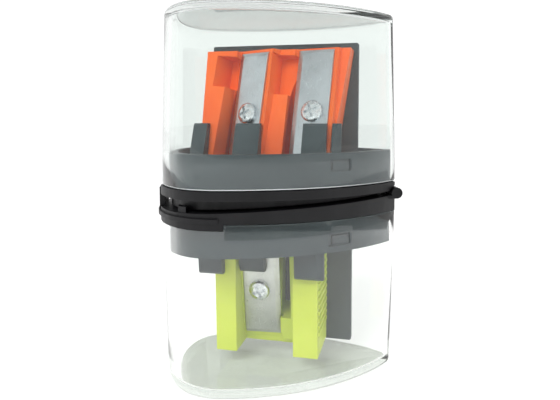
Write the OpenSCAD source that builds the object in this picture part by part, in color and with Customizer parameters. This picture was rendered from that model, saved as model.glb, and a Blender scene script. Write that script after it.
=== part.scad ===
// Two-container pencil sharpener: three holes, two clear shavings cups,
// hinged black frames between them. Millimetres, +Z up.
// Origin: centre of the outline, on the face it stands on.

/* [Overall] */
// Room for shavings between the upper back plate and its cup's closed end
room_up = 4.35; // [3:0.05:16]
// Room for shavings between the lower back plate and its cup's closed end
room_low = 2.8; // [2:0.05:12]
// Gap between the two frames at the hinge
seam_gap = 0.9; // [0.8:0.05:1.4]
// X of the centre of the narrow end
nose_x = 21.6; // [19:0.1:24]
// Radius of the narrow end
nose_r = 4.2; // [3.5:0.1:6]
// X of the centres of the two broad corners
corner_x = -12.3; // [-14:0.1:-10]
// Half distance between the broad corner centres
corner_y = 4.6; // [3.5:0.1:6]
// Radius of the broad corners
corner_r = 12; // [10:0.1:14]
// Radius of the long sides
side_r = 47; // [44:0.5:60]
// X of the centre of the broad end
end_x = -5; // [-8:0.1:0]

/* [Cups] */
// Wall of the clear cups
cup_wall = 1.5; // [1.2:0.05:2]
// Closed end of the clear cups
cup_floor = 1.5; // [1.2:0.05:2.5]
// Step round the closed end
cup_edge = 0.5; // [0.3:0.05:0.8]
// Gap of the sliding fit between cup and collar
slide_gap = 0.06; // [0.03:0.01:0.1]

/* [Bases] */
// Height of a collar
collar_h = 7; // [6:0.1:9]
// Wall of a collar
collar_wall = 1.5; // [1.2:0.1:2]
// Depth of the snap recesses in a collar
snap_depth = 0.6; // [0.3:0.05:1]
// Floor of a base
base_floor = 1.8; // [1.5:0.1:2.2]
// Depth of the guide rings round the pencil holes
guide_h = 1.2; // [0.8:0.1:1.4]
// Thickness of a back plate
plate_t = 1.8; // [1.4:0.1:2]
// How far the upper back plate stands above its block
plate_over_up = 1.9; // [0:0.1:3]
// How far the lower back plate stands past its block
plate_over_low = 0.4; // [0:0.1:2]
// Width of the upper back plate
plate_w_up = 34; // [32:0.1:34.2]
// Width of the lower back plate
plate_w_low = 31.6; // [30:0.1:33]
// Height of the clamping posts
post_h = 11.1; // [9:0.1:12]
// Thickness of the clamping posts
post_t = 2; // [1.6:0.1:2.4]
// Turn of plates and blocks in plan
block_turn = 18; // [16:0.5:20]

/* [Frames] */
// Thickness of the upper frame
frame_t = 1.85; // [1.5:0.05:1.95]
// How far the frames stand out past the cups
frame_proud = 0.3; // [0.1:0.05:0.5]
// Thickness of the lower frame at the broad end
frame_low_thin = 1.7; // [1.4:0.1:2]
// Thickness of the lower frame at the hinge
frame_low_thick = 3.5; // [3.2:0.1:3.6]
// Width of the frame ring
frame_ring = 5; // [4.4:0.1:5.6]
// Depth of the thumb tab below the lower frame
tab_drop = 1.2; // [0.8:0.1:1.8]
// Radius of the hinge knuckles
knuckle_r = 1.2; // [1.1:0.05:1.4]
// Radius of the hinge pin
hinge_pin_r = 0.6; // [0.5:0.05:0.7]

/* [Sharpeners] */
// Standard pencil hole diameter
std_d = 8.2; // [8:0.1:8.4]
// Jumbo pencil hole diameter
jumbo_d = 11.2; // [10.6:0.1:11.2]
// Half angle of the standard cone
std_cone = 11; // [10.5:0.1:12]
// Half angle of the jumbo cone
jumbo_cone = 13.5; // [13:0.1:14]
// Block past the point of the jumbo cone
double_land = 2.697; // [0.4:0.001:4]
// Width of the double block at its top
double_w = 32; // [30:0.1:32.4]
// Block past the point of the single cone
single_land = 4.507; // [0.4:0.001:6]
// Blade length
blade_l = 24; // [20:0.1:29]
// Blade past the point of its cone
blade_over = 2.4; // [1:0.1:3]
// Standard blade above the base floor
std_foot = 2.89; // [2:0.01:6]
// Jumbo blade above the base floor
jumbo_foot = 3.4; // [2:0.01:8]
// Blade width
blade_w = 8; // [7.5:0.1:8.4]
// Blade thickness
blade_t = 0.5; // [0.4:0.05:0.6]
// Screw head radius
head_r = 2.3; // [2:0.1:2.6]
// Screw head height
head_h = 1.3; // [1:0.1:1.6]
// Screws of the double block above the low ends of their blades
screw_up = 10.4; // [9:0.1:14]
// Screw of the single block above the low end of its blade
screw_up_low = 13.2; // [9:0.1:14]
// Screw shank radius
shank_r = 1.2; // [1:0.05:1.3]
// Screw shank length below the head
shank_l = 4.2; // [3.6:0.1:4.6]

/* [Hidden] */
$fn = 96;
seat_gap = 0.15;
double_h = apex_z(jumbo_foot, jumbo_cone) + double_land;
single_h = apex_z(std_foot, std_cone) + single_land;
plate_h_up = double_h + plate_over_up;
plate_h_low = single_h + plate_over_low;
lower_floor_z = cup_floor + room_low + plate_h_low;
lower_floor_top = lower_floor_z + base_floor;
lower_cup_h = lower_floor_top - seat_gap;
frame_up_z = lower_floor_top + frame_low_thick + seam_gap;
upper_floor_z = frame_up_z + frame_t;
upper_floor_top = upper_floor_z + base_floor;
upper_cup_z = upper_floor_z + seat_gap;
total_h = upper_floor_top + plate_h_up + room_up + cup_floor;
collar_in = cup_wall + slide_gap;
outline_l = end_x - end_r();
hinge_x = nose_x + nose_r - 0.6;
hinge_z = frame_up_z - 0.45;
slope = (frame_low_thick - frame_low_thin) / (nose_x + nose_r - outline_l);
tilt = atan(slope);
plate_x = 1.2;
plate_y = 6.4;
std_x = -8.4;
std_y = -5.7;
std_turn = 26;
jumbo_x = 4.9;
jumbo_y = -6.7;
jumbo_turn = 13;
single_x = -1;
single_y = -6.2;
single_turn = 4;
seat_bite = 0.12;
inner_room = 0.95;
block_fit = 0.06;
pin_half = 4.1;
double_front = 13;
double_top = 6.6;

function end_r() = corner_r + norm([corner_x - end_x, corner_y]);
function span() = norm([nose_x - corner_x, corner_y]);
function along() = (pow(side_r - corner_r, 2) - pow(side_r - nose_r, 2) + pow(span(), 2)) / (2 * span());
function rise() = sqrt(pow(side_r - corner_r, 2) - pow(along(), 2));
function side_cx() = corner_x + (along() * (nose_x - corner_x) - rise() * corner_y) / span();
function side_cy() = corner_y - (along() * corner_y + rise() * (nose_x - corner_x)) / span();
function a_nose() = atan2(-side_cy(), nose_x - side_cx());
function a_corner() = atan2(corner_y - side_cy(), corner_x - side_cx());
function a_end() = atan2(corner_y, corner_x - end_x);
function polar(cx, cy, r, a) = [cx + r * cos(a), cy + r * sin(a)];
function flip(p) = [p[0], -p[1]];
function apex_z(foot, cone) = foot + (blade_l - blade_over) * cos(cone);

// ---------- outline ----------

// Egg outline drawn in by i, from tangent arcs.
module outline(i) {
    far = 6;
    corner = [corner_x, corner_y];
    t_nose = polar(nose_x, 0, nose_r + far, a_nose());
    t_side = polar(corner_x, corner_y, corner_r + far, a_corner());
    t_end = polar(corner_x, corner_y, corner_r + far, a_end());
    if (nose_r - i > 0.1) translate([nose_x, 0]) circle(r = nose_r - i);
    for (s = [-1, 1])
        translate([corner_x, s * corner_y]) circle(r = corner_r - i);
    intersection() {
        translate([side_cx(), side_cy()]) circle(r = side_r - i);
        translate([side_cx(), -side_cy()]) circle(r = side_r - i);
        polygon([[nose_x, 0], t_nose, t_side, corner, flip(corner), flip(t_side), flip(t_nose)]);
    }
    intersection() {
        translate([end_x, 0]) circle(r = end_r() - i);
        polygon([corner, t_end, flip(t_end), flip(corner), [corner_x + 4, 0]]);
    }
}

module slab(i, z, h) {
    translate([0, 0, z]) linear_extrude(height = h) outline(i);
}

// Clear cup with its closed end at 0 and a stepped edge round it.
module cup_body(h) {
    difference() {
        union() {
            slab(0, cup_edge, h - cup_edge);
            slab(cup_edge, 0, cup_edge + 0.1);
        }
        slab(cup_wall, cup_floor + cup_edge, h);
        slab(cup_wall + cup_edge, cup_floor, h);
    }
}

// Material over the broad end, where the thumb tab sits.
module tab_zone(z, h, reach) {
    translate([outline_l - 2, -20, z]) cube([reach + 2, 40, h]);
}

module lower_cup() {
    color([0.86, 0.92, 0.9])
    difference() {
        cup_body(lower_cup_h);
        tab_zone(lower_floor_top - tab_drop - seat_gap, 5, 13.4 + seat_gap);
    }
}

module upper_cup() {
    color([0.88, 0.93, 0.91])
    translate([0, 0, total_h]) mirror([0, 0, 1]) cup_body(total_h - upper_cup_z);
}

// ---------- frames ----------

// Everything above the sloping top of the lower frame, lifted by dz.
module above_slope(dz) {
    translate([outline_l, 0, lower_floor_top + frame_low_thin + dz])
        rotate([0, -tilt, 0]) translate([-5, -25, 0]) cube([70, 50, 20]);
}

module knuckle(y0, y1, r) {
    translate([hinge_x, y0, hinge_z]) rotate([-90, 0, 0]) cylinder(r = r, h = y1 - y0);
}

module hinge_cut(z, h) {
    translate([hinge_x, -6, z]) cube([5, 12, h]);
}

module lower_frame() {
    color([0.07, 0.07, 0.075])
    difference() {
        union() {
            difference() {
                slab(-frame_proud, lower_floor_top, 6);
                slab(frame_ring, lower_floor_top - 1, 8);
                above_slope(0);
                hinge_cut(lower_floor_top - 1, 8);
            }
            intersection() {
                difference() {
                    slab(-frame_proud, lower_floor_top - tab_drop, tab_drop + 0.5);
                    slab(cup_wall - 0.1, lower_floor_top - tab_drop - 1, tab_drop + 1);
                }
                tab_zone(lower_floor_top - tab_drop - 1, 3, 13.4);
            }
            // thumb ledge on the tab
            intersection() {
                difference() {
                    slab(-frame_proud - 0.5, lower_floor_top + 0.2, 0.9);
                    slab(frame_ring - 1, lower_floor_top - 1, 5);
                }
                tab_zone(lower_floor_top - 1, 4, 12.4);
            }
            // latch tongue
            translate([outline_l - frame_proud, -3.2, lower_floor_top + 0.4])
                cube([1.2, 6.4, frame_up_z + 1.3 - lower_floor_top - 0.4]);
            // inner rim behind the dust lip
            difference() {
                slab(3.7, lower_floor_top + 0.5, frame_up_z - 0.3 - lower_floor_top - 0.5);
                slab(frame_ring, lower_floor_top - 1, 8);
            }
            // small stops on the rim, front and rear
            intersection() {
                difference() {
                    slab(0, lower_floor_top + 0.5, frame_low_thin + 0.9);
                    slab(1.4, lower_floor_top - 1, 8);
                }
                translate([outline_l + 4.6, -20, lower_floor_top]) cube([1.6, 40, 5]);
            }
            for (s = [-1, 1])
                hinge_leaf_low(s);
        }
        knuckle(-2.1, 2.1, knuckle_r + 0.3);
        knuckle(-pin_half - 0.03, pin_half + 0.03, hinge_pin_r + 0.03);
    }
}

module hinge_leaf_low(s) {
    y0 = s > 0 ? 2.1 : -4.6;
    knuckle(y0, y0 + 2.5, knuckle_r);
    translate([hinge_x - 3, y0, hinge_z - knuckle_r])
        cube([3, 2.5, lower_floor_top + frame_low_thick - 0.12 - hinge_z + knuckle_r]);
}

module upper_frame() {
    lip_in = 2;
    color([0.075, 0.075, 0.08])
    difference() {
        union() {
            difference() {
                slab(-frame_proud, frame_up_z, frame_t);
                slab(frame_ring, frame_up_z - 1, frame_t + 2);
                hinge_cut(frame_up_z - 1, frame_t + 2);
                // notch for the latch tongue
                translate([outline_l - 2, -3.5, frame_up_z - 1]) cube([3.2, 7, frame_t + 2]);
            }
            // dust lip down into the gap
            difference() {
                slab(lip_in, frame_up_z - 2.6, 2.8);
                slab(lip_in + 1.1, frame_up_z - 3, 4);
                below_slope(0.35);
                hinge_cut(frame_up_z - 4, 5);
                translate([outline_l - 1, -3.5, frame_up_z - 4]) cube([2.2, 7, 5]);
            }
            knuckle(-1.8, 1.8, knuckle_r);
            translate([hinge_x - 3, -1.8, frame_up_z - 0.02])
                cube([3, 3.6, hinge_z + knuckle_r - frame_up_z + 0.02]);
        }
        for (s = [-1, 1])
            knuckle_room(s);
        knuckle(-pin_half - 0.03, pin_half + 0.03, hinge_pin_r + 0.03);
    }
}

// Room in the upper frame for the outer knuckles.
module knuckle_room(s) {
    y0 = s > 0 ? 1.8 : -4.9;
    knuckle(y0, y0 + 3.1, knuckle_r + 0.3);
}

module below_slope(dz) {
    translate([outline_l, 0, lower_floor_top + frame_low_thin + dz])
        rotate([0, -tilt, 0]) translate([-5, -25, -20]) cube([70, 50, 20]);
}

module hinge_pin() {
    color([0.75, 0.76, 0.78]) knuckle(-pin_half, pin_half, hinge_pin_r);
}

// ---------- bases ----------

// Local frame of the upper sharpener: y = 0 on the plate, z = 0 on the floor.
module at_upper() {
    translate([plate_x, plate_y, upper_floor_top]) rotate([0, 0, -block_turn]) children();
}

// Local frame of the lower sharpener, turned over about Y.
module at_lower() {
    translate([plate_x, plate_y, lower_floor_z]) rotate([0, 0, -block_turn])
        rotate([0, 180, 0]) children();
}

// Leaning post; y is its rear face at the floor, lean its lean back.
module post(x, w, y, lean) {
    dy = post_h * tan(lean);
    translate([x, 0, 0]) rotate([90, 0, 90]) linear_extrude(height = w)
        polygon([[y, -0.5], [y - post_t - 0.6, -0.5], [y - post_t - 0.3, 3],
                 [y - post_t + dy, post_h - 0.5], [y - post_t + 0.5 + dy, post_h],
                 [y + dy, post_h]]);
}

// Back plate with two small chamfers.
module back_plate(w, h) {
    c = 0.3;
    translate([0, plate_t, 0]) rotate([90, 0, 0]) linear_extrude(height = plate_t)
        polygon([[-w / 2, -0.5], [w / 2, -0.5], [w / 2, h - c], [w / 2 - c, h],
                 [c - w / 2, h], [-w / 2, h - c]]);
}

// Snap recess in the outer face of the collar, front and rear.
module snap_recesses(z) {
    intersection() {
        difference() {
            slab(collar_in - 0.2, z - 1, 5);
            slab(collar_in + snap_depth, z - 2, 7);
        }
        for (s = [-1, 1])
            translate([11.5, s * 11.5, z]) rotate([0, 0, -s * 25]) translate([-2.6, -2.5, 0])
                cube([5.2, 5, 2.4]);
    }
}

module base_up() {
    difference() {
        union() {
            slab(collar_in, upper_floor_z, base_floor);
            difference() {
                slab(collar_in, upper_floor_z, collar_h);
                slab(collar_in + collar_wall, upper_floor_z - 1, collar_h + 2);
            }
            intersection() {
                at_upper() {
                    back_plate(plate_w_up, plate_h_up);
                    difference() {
                        posts_up();
                        ramp_room(std_x, std_y, std_turn, std_cone, std_foot);
                        ramp_room(jumbo_x, jumbo_y, jumbo_turn, jumbo_cone, jumbo_foot);
                    }
                }
                slab(collar_in + inner_room, upper_floor_z, plate_h_up + base_floor + 1);
            }
            at_upper() {
                guide_ring(std_x, std_y, std_d / 2);
                guide_ring(jumbo_x, jumbo_y, jumbo_d / 2);
            }
        }
        at_upper() {
            double_body(block_fit);
            pencil_way(std_x, std_y, std_d / 2);
            pencil_way(jumbo_x, jumbo_y, jumbo_d / 2);
        }
        snap_recesses(upper_floor_z + 3.3);
    }
}

module posts_up() {
    lean = atan((double_front - double_top) / double_h);
    y = -double_front - 0.1;
    post(-17.2, 3.2, y, lean);
    post(-7.2, 5.4, y - 1, lean);
    post(7.2, 4.8, y - 1.1, lean);
    post(13, 1.7, y, lean);
}

// Room behind a post for a blade and the ramp under it.
module ramp_room(x, y, turn, cone, foot) {
    seat(x, y, turn, cone, foot)
        translate([-1, -blade_t - 0.08, -34]) cube([blade_w + 2, 6, 50]);
}

module guide_ring(x, y, r) {
    translate([x, y, -base_floor - guide_h]) cylinder(r = r + 1.3, h = guide_h + 0.5);
}

module pencil_way(x, y, r) {
    translate([x, y, -base_floor - guide_h - 1]) cylinder(r = r, h = base_floor + guide_h + 2);
}

module upper_base() {
    color([0.3, 0.35, 0.37]) base_up();
}

module lower_base() {
    color([0.31, 0.36, 0.38])
    difference() {
        union() {
            slab(collar_in, lower_floor_z, base_floor);
            difference() {
                slab(collar_in, lower_floor_top - collar_h, collar_h);
                slab(collar_in + collar_wall, lower_floor_top - collar_h - 1, collar_h + 2);
            }
            intersection() {
                at_lower() {
                    back_plate(plate_w_low, plate_h_low);
                    post(-11.7, 5.9, -13.7, 2);
                    difference() {
                        post(1.5, 5.4, -11.8, 10.3);
                        ramp_room(single_x, single_y, single_turn, std_cone, std_foot);
                    }
                    post(9.7, 5.3, -13.7, 2);
                }
                slab(collar_in + inner_room, lower_floor_z - plate_h_low - 1, plate_h_low + 2);
            }
            at_lower() guide_ring(single_x, single_y, std_d / 2);
        }
        at_lower() pencil_way(single_x, single_y, std_d / 2);
        snap_recesses(lower_floor_top - 5.7);
    }
}

// ---------- sharpener blocks ----------

// Frame on a blade seat: x from the cutting edge, -y outwards, z to the tip.
module seat(x, y, turn, cone, foot) {
    translate([x, y, apex_z(foot, cone)]) rotate([0, 0, -turn]) rotate([-cone, 0, 0])
        translate([0, seat_bite, 0]) children();
}

// Pencil bore: a straight throat, then a cone whose point is at height apex.
module pencil_bore(x, y, d, cone, apex) {
    tip = 0.7;
    throat = apex - d / 2 / tan(cone);
    tip_z = apex - tip / tan(cone);
    translate([x, y, throat - d]) cylinder(r = d / 2, h = d);
    translate([x, y, throat]) cylinder(r1 = d / 2, r2 = tip, h = tip_z - throat);
    translate([x, y, tip_z]) cylinder(r = tip, h = tip / tan(cone) + 9);
}

// What a seat takes out of a block: blade room, shaving pocket from high down to low,
// open slot along the cutting edge, pilot hole at height up on the blade.
module seat_cut(high, low, pocket_w, slot_w, slot_depth, up) {
    translate([0, -12, -34]) cube([blade_w + 0.15, 12, 50]);
    translate([-pocket_w, -12, low]) cube([pocket_w + 0.02, 13.4, high - low]);
    translate([-slot_w, -12, blade_low()]) cube([slot_w + 0.02, 12 + slot_depth, -2 - blade_low()]);
    translate([blade_w / 2 + 0.5, -1, blade_low() + up]) rotate([-90, 0, 0])
        cylinder(r = shank_r + 0.04, h = shank_l + 1.4);
}

function blade_low() = blade_over - blade_l;

// Side profile of a block laid out along x.
module wedge(x, w, y_low, y_top, h) {
    translate([x, 0, 0]) rotate([90, 0, 90]) linear_extrude(height = w)
        polygon([[0, 0], [y_low, 0], [y_top, h], [0, h]]);
}

// Ramp under a blade, grown by c.
module seat_ramp(c) {
    translate([-c, -c, -34]) cube([blade_w + 0.9 + 2 * c, 5 + c, 50]);
}

// Outer form of the double block, grown by c to the front and sides.
module double_body(c) {
    hw = double_w / 2;
    draw_in = 4;
    difference() {
        union() {
            wedge(-hw - c, double_w + 2 * c, -double_front - c, -double_top - c, double_h);
            intersection() {
                union() {
                    seat(std_x, std_y, std_turn, std_cone, std_foot) seat_ramp(c);
                    seat(jumbo_x, jumbo_y, jumbo_turn, jumbo_cone, jumbo_foot) seat_ramp(c);
                }
                translate([-hw - c, -20, 0]) cube([double_w + 2 * c, 20, double_h]);
            }
        }
        // right side draws in towards the floor
        translate([hw - draw_in + c, -20, 0]) rotate([0, atan(draw_in / double_h), 0])
            translate([0, 0, -2]) cube([10, 30, 40]);
    }
}

module double_block() {
    color([0.96, 0.38, 0.12])
    at_upper() difference() {
        double_body(0);
        pencil_bore(std_x, std_y, std_d, std_cone, apex_z(std_foot, std_cone));
        pencil_bore(jumbo_x, jumbo_y, jumbo_d, jumbo_cone, apex_z(jumbo_foot, jumbo_cone));
        seat(std_x, std_y, std_turn, std_cone, std_foot) seat_cut(1.4, -5.6, 4, 1.3, 0.5, screw_up);
        seat(jumbo_x, jumbo_y, jumbo_turn, jumbo_cone, jumbo_foot)
            seat_cut(1.2, -7.6, 4.6, 1.3, 0.5, screw_up);
    }
}

module single_block() {
    w_l = 5.2;
    x0 = -10.2;
    x1 = 12;
    ribs = 11;
    color([0.8, 0.88, 0.4])
    at_lower() difference() {
        union() {
            wedge(x0, x1 - x0, -11.6, -6.4, single_h);
            wedge(x0, w_l, -13.6, -12.6, single_h);
            wedge(x1 - 4.6, 4.6, -13.6, -12.6, single_h);
            for (k = [0:ribs - 1])
                for (s = [0, 1])
                    translate([s == 0 ? x0 - 0.3 : x1 - 0.2, -11.8, 8.2 + k * 1.5])
                        cube([0.5, 10.6, 0.75]);
        }
        pencil_bore(single_x, single_y, std_d, std_cone, apex_z(std_foot, std_cone));
        seat(single_x, single_y, single_turn, std_cone, std_foot)
            seat_cut(-2, -12, 2.4, 2.4, 14, screw_up_low);
        // lip window under the thin end
        translate([x0 + w_l, -20, single_h - 1.2]) cube([x1 - x0 - w_l - 4.6, 14.6, 3]);
    }
}

// ---------- blades and screws ----------

module blade(up) {
    bev = 1.1;
    x_s = blade_w / 2 + 0.5;
    difference() {
        translate([0, -blade_t, blade_low()]) cube([blade_w, blade_t, blade_l]);
        translate([x_s, -blade_t - 1, blade_low() + up]) rotate([-90, 0, 0])
            cylinder(r = shank_r + 0.15, h = blade_t + 2);
        // cutting bevel along the long edge
        translate([0, -0.12, blade_low() - 1]) rotate([0, 0, -atan((blade_t - 0.12) / bev)])
            translate([-2, -2, 0]) cube([4, 2, blade_l + 2]);
        // bevel across the tip end
        translate([-1, -0.15, blade_low() + blade_l]) rotate([atan(0.8 / (blade_t - 0.15)), 0, 0])
            translate([0, -3, 0]) cube([blade_w + 2, 3, 3]);
    }
}

module screw() {
    arm = head_r * 1.25;
    rotate([90, 0, 0]) difference() {
        union() {
            cylinder(r = head_r, h = head_h * 0.5);
            translate([0, 0, head_h * 0.5]) cylinder(r1 = head_r, r2 = head_r - 0.3, h = head_h * 0.25);
            translate([0, 0, head_h * 0.75]) cylinder(r1 = head_r - 0.3, r2 = head_r - 1, h = head_h * 0.25);
            translate([0, 0, -shank_l]) cylinder(r = shank_r, h = shank_l + 0.1);
        }
        for (a = [0, 90])
            rotate([0, 0, a + 20]) translate([-arm / 2, -0.3, head_h - 0.8]) cube([arm, 0.6, 1]);
    }
}

module seat_screw(up) {
    translate([blade_w / 2 + 0.5, -blade_t, blade_low() + up]) screw();
}

module standard_blade() {
    color([0.73, 0.77, 0.81]) at_upper() seat(std_x, std_y, std_turn, std_cone, std_foot) blade(screw_up);
}

module standard_screw() {
    color([0.78, 0.79, 0.8])
    at_upper() seat(std_x, std_y, std_turn, std_cone, std_foot) seat_screw(screw_up);
}

module jumbo_blade() {
    color([0.73, 0.77, 0.81])
    at_upper() seat(jumbo_x, jumbo_y, jumbo_turn, jumbo_cone, jumbo_foot) blade(screw_up);
}

module jumbo_screw() {
    color([0.78, 0.79, 0.8])
    at_upper() seat(jumbo_x, jumbo_y, jumbo_turn, jumbo_cone, jumbo_foot) seat_screw(screw_up);
}

module single_blade() {
    color([0.73, 0.77, 0.81])
    at_lower() seat(single_x, single_y, single_turn, std_cone, std_foot) blade(screw_up_low);
}

module single_screw() {
    color([0.78, 0.79, 0.8])
    at_lower() seat(single_x, single_y, single_turn, std_cone, std_foot) seat_screw(screw_up_low);
}

// ---------- draw ----------

lower_cup();
lower_base();
lower_frame();
single_block();
single_blade();
single_screw();
hinge_pin();
upper_frame();
upper_base();
double_block();
standard_blade();
standard_screw();
jumbo_blade();
jumbo_screw();
upper_cup();
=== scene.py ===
import math

import bmesh
import bpy
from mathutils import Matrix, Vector


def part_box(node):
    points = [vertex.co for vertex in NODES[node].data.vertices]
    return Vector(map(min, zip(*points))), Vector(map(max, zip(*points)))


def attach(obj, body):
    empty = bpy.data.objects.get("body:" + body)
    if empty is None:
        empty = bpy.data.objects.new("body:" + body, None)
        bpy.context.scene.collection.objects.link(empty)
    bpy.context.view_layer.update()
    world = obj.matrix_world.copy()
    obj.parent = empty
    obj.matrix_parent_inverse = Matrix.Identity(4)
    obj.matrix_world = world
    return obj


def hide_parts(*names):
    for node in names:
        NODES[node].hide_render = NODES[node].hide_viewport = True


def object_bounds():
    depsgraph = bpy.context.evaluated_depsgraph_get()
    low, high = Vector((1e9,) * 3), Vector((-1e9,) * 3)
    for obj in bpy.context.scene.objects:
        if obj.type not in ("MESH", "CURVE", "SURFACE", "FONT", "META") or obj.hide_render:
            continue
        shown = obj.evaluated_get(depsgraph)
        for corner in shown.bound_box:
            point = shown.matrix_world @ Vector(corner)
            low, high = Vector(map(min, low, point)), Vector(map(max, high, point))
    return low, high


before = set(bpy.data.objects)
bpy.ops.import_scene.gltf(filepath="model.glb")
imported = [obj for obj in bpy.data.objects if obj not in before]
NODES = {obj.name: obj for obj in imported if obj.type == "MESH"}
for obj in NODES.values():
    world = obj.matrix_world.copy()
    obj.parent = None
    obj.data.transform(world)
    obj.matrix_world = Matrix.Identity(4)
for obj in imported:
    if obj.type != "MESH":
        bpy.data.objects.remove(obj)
CAD_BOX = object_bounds()
MM = 0.001

# The outline of the cups in plan, in metres: arcs that meet in a smooth line.
NOSE_X, NOSE_R = 21.6 * MM, 4.2 * MM
CORNER_X, CORNER_Y, CORNER_R = -12.3 * MM, 4.6 * MM, 12.0 * MM
SIDE_R = 47.0 * MM
END_X = -5.0 * MM

# Clear cups
WALL = 1.5 * MM
DRAFT = 0.85 * MM        # how far the closed end draws in
LAND = 7.6 * MM          # straight part of the inside that fits the collar
EDGE = 1.1 * MM          # radius of the closed edge
SNAP_X = 11.4 * MM
SNAP_UP = 4.35 * MM      # middle of a snap lug from the rim
SNAP_SIZE = (4.8 * MM, 0.5 * MM, 1.8 * MM)
NOTCH_REACH = 14.35 * MM  # notch for the thumb tab, from the frame's end
NOTCH_GAP = 0.15 * MM

# Camera, in the object's frame
CAM_AWAY = 121.5 * MM
CAM_HEIGHT = 55.8 * MM
CAM_TURN = 0.078         # radians about the upright axis
CAM_PITCH = 0.061        # radians down from level
CAM_SHIFT = -0.09
CAM_LENS = 35.4


# ---------- outline ----------

def side_centre():
    """Centre of the arc of a long side, for the side where y is positive."""
    span = math.hypot(NOSE_X - CORNER_X, CORNER_Y)
    to_corner = SIDE_R - CORNER_R
    along = (to_corner ** 2 - (SIDE_R - NOSE_R) ** 2 + span ** 2) / (2 * span)
    rise = math.sqrt(to_corner ** 2 - along ** 2)
    x = CORNER_X + (along * (NOSE_X - CORNER_X) - rise * CORNER_Y) / span
    y = CORNER_Y - (along * CORNER_Y + rise * (NOSE_X - CORNER_X)) / span
    return x, y


def outline(inset):
    """Points round the outline drawn in by inset, anticlockwise."""
    sx, sy = side_centre()
    end_r = CORNER_R + math.hypot(CORNER_X - END_X, CORNER_Y)
    nose_a = math.atan2(-sy, NOSE_X - sx)
    corner_a = math.atan2(CORNER_Y - sy, CORNER_X - sx)
    end_a = math.atan2(CORNER_Y, CORNER_X - END_X)
    arcs = [
        (NOSE_X, 0.0, NOSE_R, 0.0, nose_a, 22),
        (sx, sy, SIDE_R, nose_a, corner_a, 44),
        (CORNER_X, CORNER_Y, CORNER_R, corner_a, end_a, 26),
        (END_X, 0.0, end_r, end_a, math.pi, 18),
    ]
    half = []
    for cx, cy, r, a0, a1, count in arcs:
        for k in range(count):
            a = a0 + (a1 - a0) * k / count
            half.append((cx + (r - inset) * math.cos(a), cy + (r - inset) * math.sin(a)))
    tip = (END_X - (end_r - inset), 0.0)
    return half + [tip] + [(x, -y) for x, y in reversed(half[1:])]


# ---------- meshes ----------

def lofted(name, sections):
    """A closed mesh through outline rings (inset, z), first and last ring capped."""
    bm = bmesh.new()
    rings = [[bm.verts.new((x, y, z)) for x, y in outline(inset)] for inset, z in sections]
    count = len(rings[0])
    for low, high in zip(rings, rings[1:]):
        for k in range(count):
            j = (k + 1) % count
            bm.faces.new((low[k], low[j], high[j], high[k]))
    bm.faces.new(list(reversed(rings[0])))
    bm.faces.new(rings[-1])
    bmesh.ops.recalc_face_normals(bm, faces=bm.faces)
    mesh = bpy.data.meshes.new(name)
    bm.to_mesh(mesh)
    bm.free()
    for face in mesh.polygons:
        face.use_smooth = True
    thing = bpy.data.objects.new(name, mesh)
    bpy.context.scene.collection.objects.link(thing)
    return thing


def arc_points(inset0, z0, r, start, stop, steps):
    """(inset, z) points of a fillet; angle 0 is outwards, 90 is away from the table."""
    out = []
    for k in range(steps + 1):
        a = math.radians(start + (stop - start) * k / steps)
        out.append((inset0 - r * math.cos(a), z0 + r * math.sin(a)))
    return out


def cup_sections(height, floor):
    """Section of a cup standing on its closed end, from the middle of the floor
    outwards, up the outside, over the rim and back down the inside."""
    inner = EDGE * 0.7
    inset_in = WALL + DRAFT
    out = [(DRAFT + 2.8 * MM, 0.0), (DRAFT + 2.0 * MM, 0.0)]
    out += arc_points(DRAFT + EDGE, EDGE, EDGE, -90, 0, 8)
    out += [(DRAFT * (1 - k / 6), EDGE + (height - EDGE) * k / 6) for k in range(1, 6)]
    out += [(0.02 * MM, height - 0.25 * MM), (0.12 * MM, height - 0.06 * MM), (0.3 * MM, height)]
    out += [(WALL - 0.3 * MM, height), (WALL - 0.1 * MM, height - 0.06 * MM)]
    out += [(WALL, height - 0.25 * MM), (WALL, height - LAND)]
    low = floor + inner
    out += [(WALL + DRAFT * k / 4, height - LAND - (height - LAND - low) * k / 4) for k in range(1, 4)]
    out += arc_points(inset_in + inner, low, inner, 0, -90, 6)
    out += [(inset_in + 1.3 * MM, floor)]
    return out


def make_cup(name, node, upside_down, body):
    low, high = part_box(node)
    height = high[2] - low[2]
    sections = cup_sections(height, WALL)
    if upside_down:
        placed = [(i, high[2] - z) for i, z in sections]
    else:
        placed = [(i, low[2] + z) for i, z in sections]
    cup = lofted(name, placed)
    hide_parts(node)
    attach(cup, body)
    return cup


def with_box(thing, operation, middle, size, turn=0.0):
    """Joins a box to a closed mesh, or cuts it out."""
    bpy.ops.mesh.primitive_cube_add(size=1)
    tool = bpy.context.object
    tool.scale = size
    tool.location = middle
    tool.rotation_euler = (0, 0, turn)
    change = thing.modifiers.new("change", "BOOLEAN")
    change.operation = operation
    change.object = tool
    change.solver = "EXACT"
    bpy.context.view_layer.objects.active = thing
    bpy.ops.object.modifier_apply(modifier=change.name)
    bpy.data.objects.remove(tool, do_unlink=True)


def add_snap_lugs(cup, z):
    """Lugs on the inside of a cup, front and rear, that snap into the collar's recesses."""
    inner = outline(WALL + 0.2 * MM)
    spot = min((p for p in inner if p[1] > 0), key=lambda p: abs(p[0] - SNAP_X))
    k = inner.index(spot)
    after, before = inner[k + 1], inner[k - 1]
    turn = math.atan2(after[1] - before[1], after[0] - before[0])
    for side in (-1, 1):
        with_box(cup, "UNION", (spot[0], side * spot[1], z), SNAP_SIZE, side * turn)


# ---------- materials ----------

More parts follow.
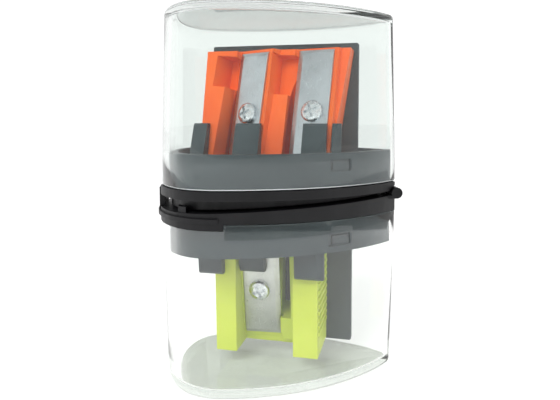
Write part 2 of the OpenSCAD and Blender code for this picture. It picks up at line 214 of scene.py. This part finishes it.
class Look:
    """A node material with short helpers."""

    def __init__(self, name):
        self.mat = bpy.data.materials.new(name)
        self.mat.use_nodes = True
        self.tree = self.mat.node_tree
        self.tree.nodes.clear()
        self.out = self.add("ShaderNodeOutputMaterial")
        self.shader = self.add("ShaderNodeBsdfPrincipled")
        self.link(self.shader, "BSDF", self.out, "Surface")
        self.where = self.add("ShaderNodeTexCoord")

    def add(self, kind, **values):
        node = self.tree.nodes.new(kind)
        for key, value in values.items():
            setattr(node, key, value)
        return node

    def link(self, a, out, b, into):
        self.tree.links.new(a.outputs[out], b.inputs[into])

    def set(self, **values):
        for key, value in values.items():
            self.shader.inputs[key.replace("_", " ")].default_value = value

    def mapped(self, scale=(1, 1, 1), turn=(0, 0, 0)):
        m = self.add("ShaderNodeMapping")
        m.inputs["Scale"].default_value = scale
        m.inputs["Rotation"].default_value = turn
        self.link(self.where, "Object", m, "Vector")
        return m

    def noise(self, scale, detail=4.0, rough=0.5, stretch=(1, 1, 1), turn=(0, 0, 0)):
        n = self.add("ShaderNodeTexNoise")
        n.inputs["Scale"].default_value = scale
        n.inputs["Detail"].default_value = detail
        n.inputs["Roughness"].default_value = rough
        self.link(self.mapped(stretch, turn), "Vector", n, "Vector")
        return n

    def ramp(self, source, low, high, pos=(0.35, 0.65), out="Fac"):
        r = self.add("ShaderNodeValToRGB")
        r.color_ramp.elements[0].position = pos[0]
        r.color_ramp.elements[0].color = (*low, 1)
        r.color_ramp.elements[1].position = pos[1]
        r.color_ramp.elements[1].color = (*high, 1)
        self.link(source, out, r, "Fac")
        return r

    def spread(self, source, low, high, start=0.3, stop=0.7, out="Fac"):
        m = self.add("ShaderNodeMapRange")
        m.inputs["From Min"].default_value = start
        m.inputs["From Max"].default_value = stop
        m.inputs["To Min"].default_value = low
        m.inputs["To Max"].default_value = high
        self.link(source, out, m, "Value")
        return m

    def blend(self, first, second, share):
        """Mixes two shaders; share is how much of the second shows."""
        mix = self.add("ShaderNodeMixShader")
        mix.inputs["Fac"].default_value = share
        self.tree.links.new(first.outputs[0], mix.inputs[1])
        self.tree.links.new(second.outputs[0], mix.inputs[2])
        return mix

    def bump(self, heights, edge=0.0):
        """Bumps one on the other, each (source, output, strength, distance)."""
        normal = None
        if edge:
            normal = self.add("ShaderNodeBevel")
            normal.samples = 6
            normal.inputs["Radius"].default_value = edge
        for source, out, strength, distance in heights:
            b = self.add("ShaderNodeBump")
            b.inputs["Strength"].default_value = strength
            b.inputs["Distance"].default_value = distance
            self.link(source, out, b, "Height")
            if normal:
                self.link(normal, "Normal", b, "Normal")
            normal = b
        self.link(normal, "Normal", self.shader, "Normal")


def moulded(name, dark, light, rough=(0.34, 0.48), grain=0.12, soft=0.0, edge=0.12 * MM):
    """Injection-moulded plastic: flow clouds, fine spark-eroded grain, faint scuffs."""
    m = Look(name)
    clouds = m.noise(95, 3, 0.55, stretch=(1, 1, 0.6))
    m.link(m.ramp(clouds, dark, light), "Color", m.shader, "Base Color")
    scuff = m.noise(900, 6, 0.62, stretch=(1, 1, 0.15), turn=(0.2, 0.5, 0))
    m.link(m.spread(scuff, *rough), "Result", m.shader, "Roughness")
    fine = m.noise(5200, 2, 0.5)
    m.bump([(clouds, "Fac", 0.12, 0.05 * MM), (fine, "Fac", grain, 0.02 * MM)], edge)
    m.set(IOR=1.5)
    if soft:
        m.set(Subsurface_Weight=soft, Subsurface_Scale=1.6 * MM)
        m.shader.inputs["Subsurface Radius"].default_value = (1.0, 0.6, 0.3)
    return m.mat


def ground_steel(name, turn, tint, rough=(0.26, 0.4)):
    """Ground blade steel: grinding lines along the blade, fine stains."""
    m = Look(name)
    lines = m.noise(5200, 3, 0.5, stretch=(1, 1, 0.012), turn=turn)
    stains = m.noise(160, 4, 0.6)
    dark = tuple(c * 0.8 for c in tint)
    m.link(m.ramp(stains, dark, tint, (0.3, 0.6)), "Color", m.shader, "Base Color")
    m.link(m.spread(lines, *rough), "Result", m.shader, "Roughness")
    m.bump([(lines, "Fac", 0.1, 0.004 * MM)], 0.05 * MM)
    m.set(Metallic=1.0)
    return m.mat


def zinc(name):
    """Zinc-plated screw: bright, faintly mottled, slightly pitted."""
    m = Look(name)
    mottle = m.noise(1500, 4, 0.6)
    m.link(m.ramp(mottle, (0.64, 0.67, 0.7), (0.82, 0.84, 0.86)), "Color", m.shader, "Base Color")
    m.link(m.spread(mottle, 0.18, 0.36), "Result", m.shader, "Roughness")
    pits = m.noise(4200, 2, 0.5)
    m.bump([(pits, "Fac", 0.07, 0.008 * MM)], 0.08 * MM)
    m.set(Metallic=1.0)
    return m.mat


def clear_plastic(name, tint, haze_and_painted_light=0.0, haze_and_painted_light_colour=(0.7, 0.74, 0.7)):
    """Clear polystyrene: slight grey-green tint, flow ripples, fine handling scratches.
    Haze mixes in a diffuse colour: the milky look of a thick part, and painted light, a light colour
    giving a painted highlight and a dark one painted shade."""
    m = Look(name)
    flow = m.noise(60, 3, 0.5, stretch=(1, 1, 0.35))
    scratch = m.noise(700, 7, 0.7, stretch=(1, 1, 0.06), turn=(0.5, 0.3, 0.2))
    smear = m.noise(45, 4, 0.55)
    m.link(m.ramp(smear, tuple(c * 0.985 for c in tint), tint), "Color", m.shader, "Base Color")
    m.link(m.spread(scratch, 0.015, 0.09, 0.45, 0.8), "Result", m.shader, "Roughness")
    m.set(Transmission_Weight=1.0, IOR=1.5)
    m.bump([(flow, "Fac", 0.1, 0.06 * MM), (scratch, "Fac", 0.05, 0.004 * MM)])
    # a clear cup hardly darkens what stands behind it in the light
    path = m.add("ShaderNodeLightPath")
    through = m.add("ShaderNodeBsdfTransparent")
    through.inputs["Color"].default_value = (0.9, 0.92, 0.91, 1)
    body = m.shader
    if haze_and_painted_light:
        # diffuse colour mixed in: milky look of thick plastic, painted highlight on a rim, painted
        # shade on the lower cup's end and rim
        milk_and_painted_light = m.add("ShaderNodeBsdfDiffuse")
        milk_and_painted_light.inputs["Color"].default_value = (*haze_and_painted_light_colour, 1)
        body = m.blend(m.shader, milk_and_painted_light, haze_and_painted_light)
    mix = m.blend(body, through, 0.5)
    m.link(path, "Is Shadow Ray", mix, "Fac")
    m.link(mix, 0, m.out, "Surface")
    return m.mat


def paint(node, mat):
    mesh = NODES[node].data
    mesh.materials.clear()
    mesh.materials.append(mat)


# ---------- the object ----------

upper_cup = make_cup("upper_cup_clear", "upper_cup", True, "upper_container")
lower_cup = make_cup("lower_cup_clear", "lower_cup", False, "lower_container")

# The lower cup's rim is cut away where the thumb tab sits.
tab_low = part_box("lower_frame")[0]
cup_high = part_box("lower_cup")[1]
notch_z = tab_low[2] - NOTCH_GAP
with_box(
    lower_cup, "DIFFERENCE",
    (tab_low[0] + NOTCH_REACH / 2, 0, notch_z + 5 * MM),
    (NOTCH_REACH, 44 * MM, 10 * MM),
)
upper_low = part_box("upper_cup")[0]
add_snap_lugs(upper_cup, upper_low[2] + SNAP_UP)
add_snap_lugs(lower_cup, cup_high[2] - SNAP_UP)

TINT_UP = (0.9, 0.935, 0.918)
TINT_LOW = (0.955, 0.97, 0.955)


def dress_cup(cup, wall, end, rim, closed_z, open_z, reach):
    """Clear wall, plus a closed end and a rim with their own materials, which carry the thicker look
    of an end, a painted highlight on the upper rim and painted shade on the lower cup's end and rim.
    """
    cup.data.set_sharp_from_angle(angle=math.radians(35))
    for mat in (wall, end, rim):
        cup.data.materials.append(mat)
    for face in cup.data.polygons:
        flat = abs(face.normal.z) > 0.9
        if flat and abs(face.center.z - closed_z) < 2.2 * MM:
            face.material_index = 1
        elif abs(face.center.z - open_z) < (reach if flat else 0.7 * MM):
            face.material_index = 2


dress_cup(
    upper_cup,
    clear_plastic("clear_upper", TINT_UP),
    clear_plastic("clear_upper_end", (0.86, 0.89, 0.88), 0.22, (0.5, 0.54, 0.53)),
    # the rim's light haze is a painted highlight along the upper cup's rim
    clear_plastic("clear_upper_rim_painted_highlight", TINT_UP, 0.6, (0.8, 0.84, 0.84)),
    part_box("upper_cup")[1][2], upper_low[2], 0.7 * MM,
)
dress_cup(
    lower_cup,
    clear_plastic("clear_lower", TINT_LOW),
    # the closed end's dark haze is painted shade where the cup stands on the table
    clear_plastic("clear_lower_end_painted_shade", (0.84, 0.86, 0.82), 0.45, (0.36, 0.38, 0.33)),
    # the rim's dark haze is painted shade next to the black frames
    clear_plastic("clear_lower_rim_painted_shade", TINT_LOW, 0.6, (0.12, 0.14, 0.14)),
    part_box("lower_cup")[0][2], cup_high[2], 1.5 * MM,
)

grey = moulded("grey_plastic", (0.021, 0.035, 0.041), (0.036, 0.053, 0.06), (0.42, 0.55))
black = moulded("black_plastic", (0.002, 0.002, 0.0025), (0.005, 0.005, 0.006), (0.42, 0.55))
black.node_tree.nodes["Principled BSDF"].inputs["Specular IOR Level"].default_value = 0.3
orange = moulded("orange_plastic", (0.88, 0.115, 0.008), (0.95, 0.15, 0.012), (0.4, 0.52), 0.1, 0.12)
lime = moulded("lime_plastic", (0.6, 0.7, 0.06), (0.68, 0.78, 0.09), (0.4, 0.52), 0.1, 0.12)
lean = math.radians(11)
steel = ground_steel("blade_steel", (lean, 0, 0), (0.62, 0.66, 0.7))
steel_low = ground_steel("blade_steel_lower", (-lean, 0, 0), (0.58, 0.59, 0.56))
screw_zinc = zinc("screw_zinc")

LOOKS = {
    "lower_base": grey, "upper_base": grey,
    "lower_frame": black, "upper_frame": black,
    "double_block": orange, "single_block": lime,
    "standard_blade": steel, "jumbo_blade": steel, "single_blade": steel_low,
    "standard_screw": screw_zinc, "jumbo_screw": screw_zinc, "single_screw": screw_zinc,
    "hinge_pin": screw_zinc,
}
for node, look in LOOKS.items():
    paint(node, look)


# ---------- floor, light, camera ----------

def make_floor():
    bpy.ops.mesh.primitive_plane_add(size=6)
    floor = bpy.context.object
    floor.name = "floor"
    floor.location = (0, 1.5, CAD_BOX[0][2])
    m = Look("floor_white")
    grain = m.noise(40, 3, 0.5)
    m.link(m.ramp(grain, (0.93, 0.93, 0.93), (0.95, 0.95, 0.95)), "Color", m.shader, "Base Color")
    m.set(Roughness=0.6, Emission_Strength=0.2)
    m.shader.inputs["Emission Color"].default_value = (1, 1, 1, 1)
    floor.data.materials.append(m.mat)


def area_light(name, place, aim, size, watts, colour=(1, 1, 1)):
    data = bpy.data.lights.new(name, "AREA")
    data.shape = "RECTANGLE"
    data.size, data.size_y = size
    data.energy = watts
    data.color = colour
    lamp = bpy.data.objects.new(name, data)
    lamp.location = place
    lamp.visible_glossy = False
    lamp.visible_transmission = False
    lamp.rotation_euler = (Vector(aim) - Vector(place)).to_track_quat("-Z", "Y").to_euler()
    bpy.context.scene.collection.objects.link(lamp)


def make_light():
    world = bpy.data.worlds.new("studio")
    bpy.context.scene.world = world
    world.use_nodes = True
    tree = world.node_tree
    sky = tree.nodes["Background"]
    sky.inputs["Color"].default_value = (1, 1, 1, 1)
    # a white wall behind, a dimmer room on the photographer's side
    where = tree.nodes.new("ShaderNodeTexCoord")
    axes = tree.nodes.new("ShaderNodeSeparateXYZ")
    depth = tree.nodes.new("ShaderNodeMapRange")
    depth.inputs["From Min"].default_value = -0.75
    depth.inputs["From Max"].default_value = 0.25
    depth.inputs["To Min"].default_value = 0.3
    depth.inputs["To Max"].default_value = 1.12
    tree.links.new(where.outputs["Generated"], axes.inputs["Vector"])
    tree.links.new(axes.outputs["Y"], depth.inputs["Value"])
    # seen straight on or through the clear cups, the wall is white all round
    path = tree.nodes.new("ShaderNodeLightPath")
    seen = tree.nodes.new("ShaderNodeMath")
    seen.operation = "MAXIMUM"
    tree.links.new(path.outputs["Is Camera Ray"], seen.inputs[0])
    tree.links.new(path.outputs["Is Transmission Ray"], seen.inputs[1])
    choice = tree.nodes.new("ShaderNodeMix")
    choice.inputs["B"].default_value = 1.12
    tree.links.new(seen.outputs["Value"], choice.inputs["Factor"])
    tree.links.new(depth.outputs["Result"], choice.inputs["A"])
    tree.links.new(choice.outputs["Result"], sky.inputs["Strength"])
    middle = (0, 0, 0.04)
    area_light("key", (-0.25, -0.35, 0.42), middle, (0.25, 0.25), 2.4)
    area_light("fill", (0.38, -0.3, 0.2), middle, (0.25, 0.35), 0.8)


def make_camera():
    data = bpy.data.cameras.new("camera")
    data.sensor_width = 36
    data.lens = CAM_LENS
    data.shift_y = CAM_SHIFT
    data.clip_start = 0.005
    cam = bpy.data.objects.new("camera", data)
    cam.location = (-CAM_AWAY * math.sin(CAM_TURN), -CAM_AWAY * math.cos(CAM_TURN), CAM_HEIGHT)
    ahead = Vector((math.sin(CAM_TURN), math.cos(CAM_TURN), -math.tan(CAM_PITCH)))
    cam.rotation_euler = ahead.to_track_quat("-Z", "Y").to_euler()
    bpy.context.scene.collection.objects.link(cam)
    bpy.context.scene.camera = cam


make_floor()
make_light()
make_camera()
bpy.context.scene.view_settings.view_transform = "Standard"
